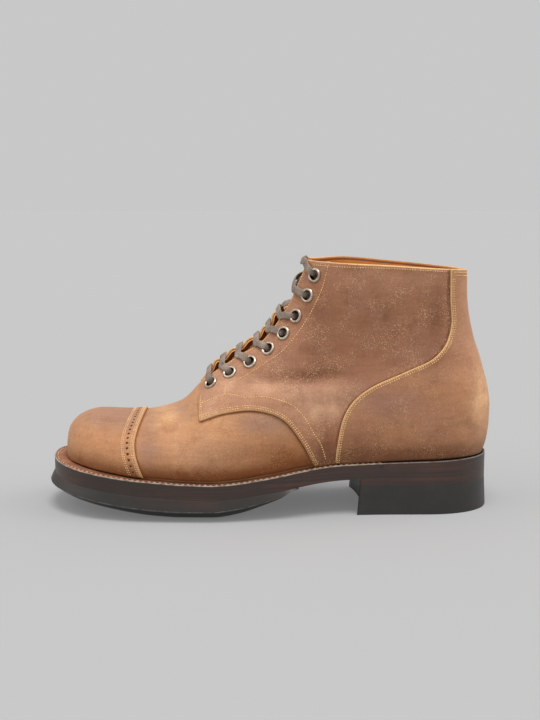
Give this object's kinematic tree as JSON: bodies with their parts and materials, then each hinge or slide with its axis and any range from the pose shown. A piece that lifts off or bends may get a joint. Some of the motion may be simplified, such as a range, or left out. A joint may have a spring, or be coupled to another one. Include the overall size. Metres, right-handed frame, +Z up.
{
  "type": "service boot",
  "caption": "Ankle-high lace-up leather service boot for the left foot, with a cap toe, stitched welt, thick rubber half sole and rubber-tipped stacked heel.",
  "frame": {"origin": "on the floor, under the middle of the boot's box", "axes": "+X towards the heel, so the toe points to -X; +Y towards the inner (medial) side of the foot; +Z up"},
  "size_m": [0.3056, 0.114, 0.171],
  "materials": {
    "vamp_leather": "waxed rough-out nap, tan",
    "quarter_leather": "waxed rough-out nap, mauve brown",
    "counter_leather": "waxed rough-out nap, tan brown",
    "tongue_leather": "soft tan leather",
    "insole_leather": "smooth natural leather",
    "lining_leather": "smooth russet lining leather",
    "welt_leather": "worn top, dark waxed edge",
    "sole_leather": "dark waxed edge",
    "sole_rubber": "matte black rubber",
    "eyelet_metal": "aged nickel",
    "lace_cotton": "waxed flat braid, grey brown",
    "stitch_thread": "gold thread"
  },
  "bodies": {
    "root": {"upper": "vamp_leather", "toe_cap": "vamp_leather", "quarter_lateral": "quarter_leather", "quarter_medial": "quarter_leather", "heel_counter": "counter_leather", "tongue": "tongue_leather", "insole": "insole_leather", "welt": "welt_leather", "heel_rand": "sole_leather", "midsole": "sole_leather", "heel_stack": "sole_leather", "half_sole": "sole_rubber", "heel_lift": "sole_rubber", "eyelet_lateral_1": "eyelet_metal", "eyelet_lateral_2": "eyelet_metal", "eyelet_lateral_3": "eyelet_metal", "eyelet_lateral_4": "eyelet_metal", "eyelet_lateral_5": "eyelet_metal", "eyelet_lateral_6": "eyelet_metal", "eyelet_lateral_7": "eyelet_metal", "eyelet_lateral_8": "eyelet_metal", "eyelet_medial_1": "eyelet_metal", "eyelet_medial_2": "eyelet_metal", "eyelet_medial_3": "eyelet_metal", "eyelet_medial_4": "eyelet_metal", "eyelet_medial_5": "eyelet_metal", "eyelet_medial_6": "eyelet_metal", "eyelet_medial_7": "eyelet_metal", "eyelet_medial_8": "eyelet_metal", "lace_bar_1": "lace_cotton", "lace_bar_2": "lace_cotton", "lace_bar_3": "lace_cotton", "lace_bar_4": "lace_cotton", "lace_bar_5": "lace_cotton", "lace_bar_6": "lace_cotton", "lace_cross_7": "lace_cotton", "lace_bar_8": "lace_cotton"}
  },
  "joints": []
}
